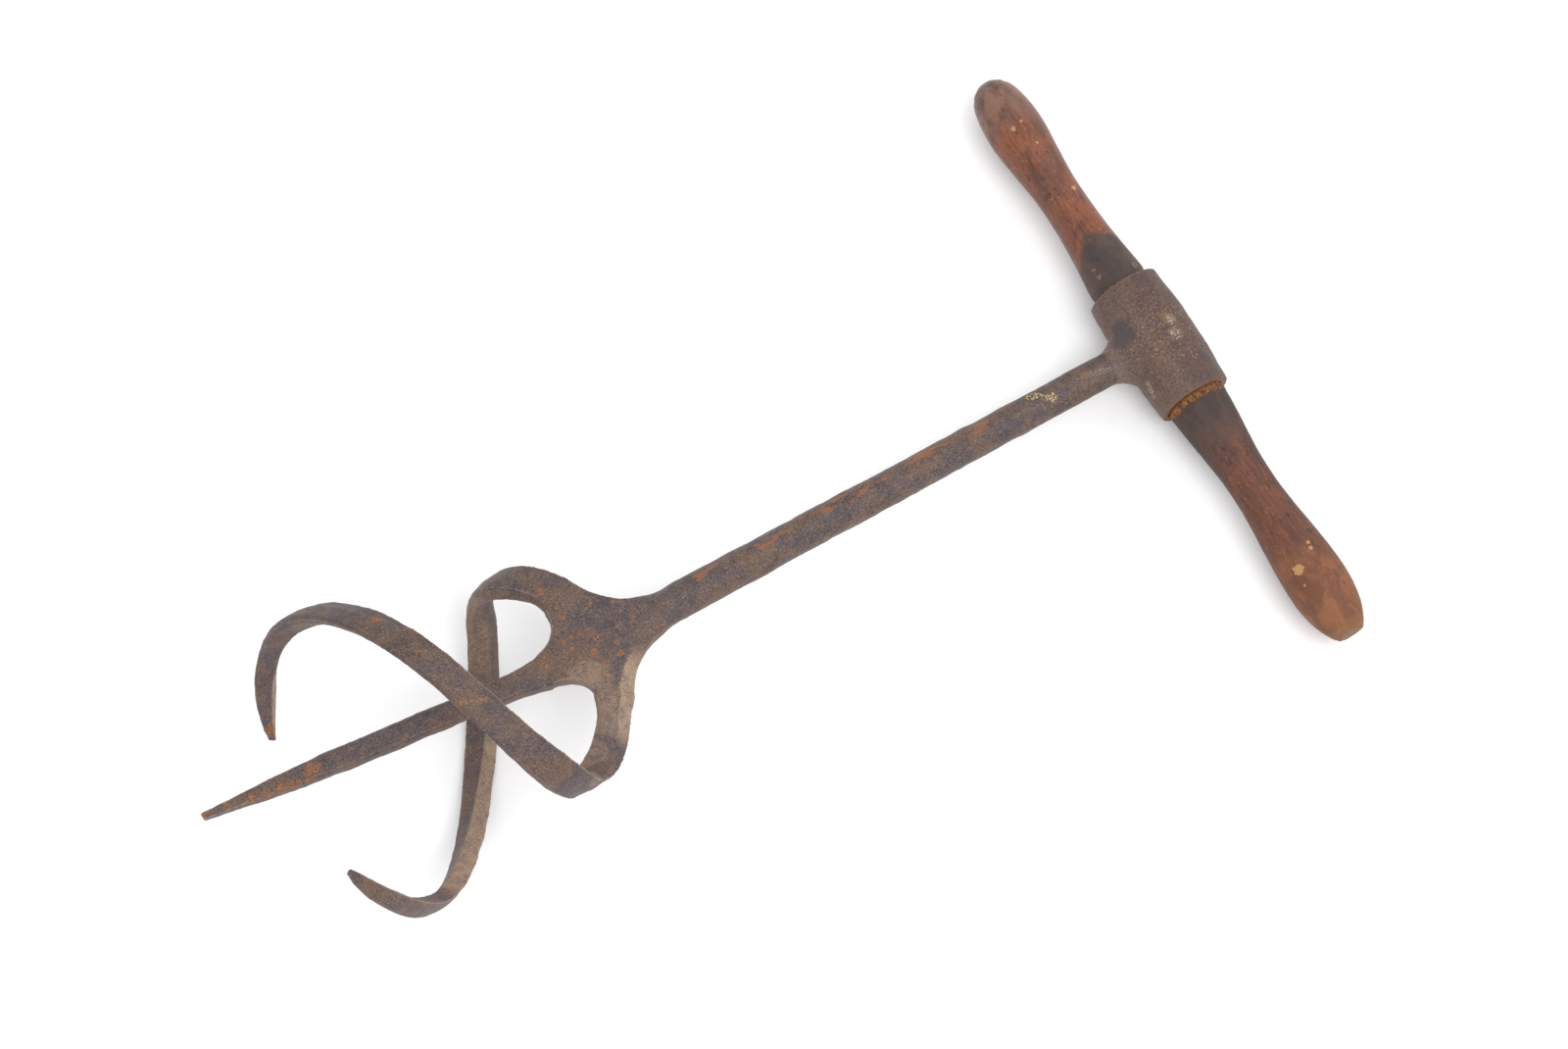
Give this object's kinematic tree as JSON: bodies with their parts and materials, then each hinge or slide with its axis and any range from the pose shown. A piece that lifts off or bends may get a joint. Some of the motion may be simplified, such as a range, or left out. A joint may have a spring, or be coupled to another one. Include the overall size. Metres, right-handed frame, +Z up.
{
  "type": "hand auger with spike and coiled prongs",
  "caption": "Rigid T-handled iron hand auger: turned wooden bar through an eye, round shank, flat palm, straight spike and coiled prongs.",
  "frame": {"origin": "bottom centre of the tool's box as it lies on a floor", "axes": "+X along the tool from the spike's point towards the handle, +Y along the handle, +Z up from the floor"},
  "size_m": [0.4028, 0.252, 0.1041],
  "materials": {
    "iron": "dark brown patina with fine pitting and spots of orange rust",
    "handle_wood": "old turned hardwood, hand-worn, dark stain beside the eye and pale worn end grain"
  },
  "bodies": {
    "root": {"wooden_handle": "handle_wood", "handle_eye": "iron", "shank": "iron", "palm": "iron", "centre_spike": "iron", "upper_prong": "iron", "lower_prong": "iron"}
  },
  "joints": []
}
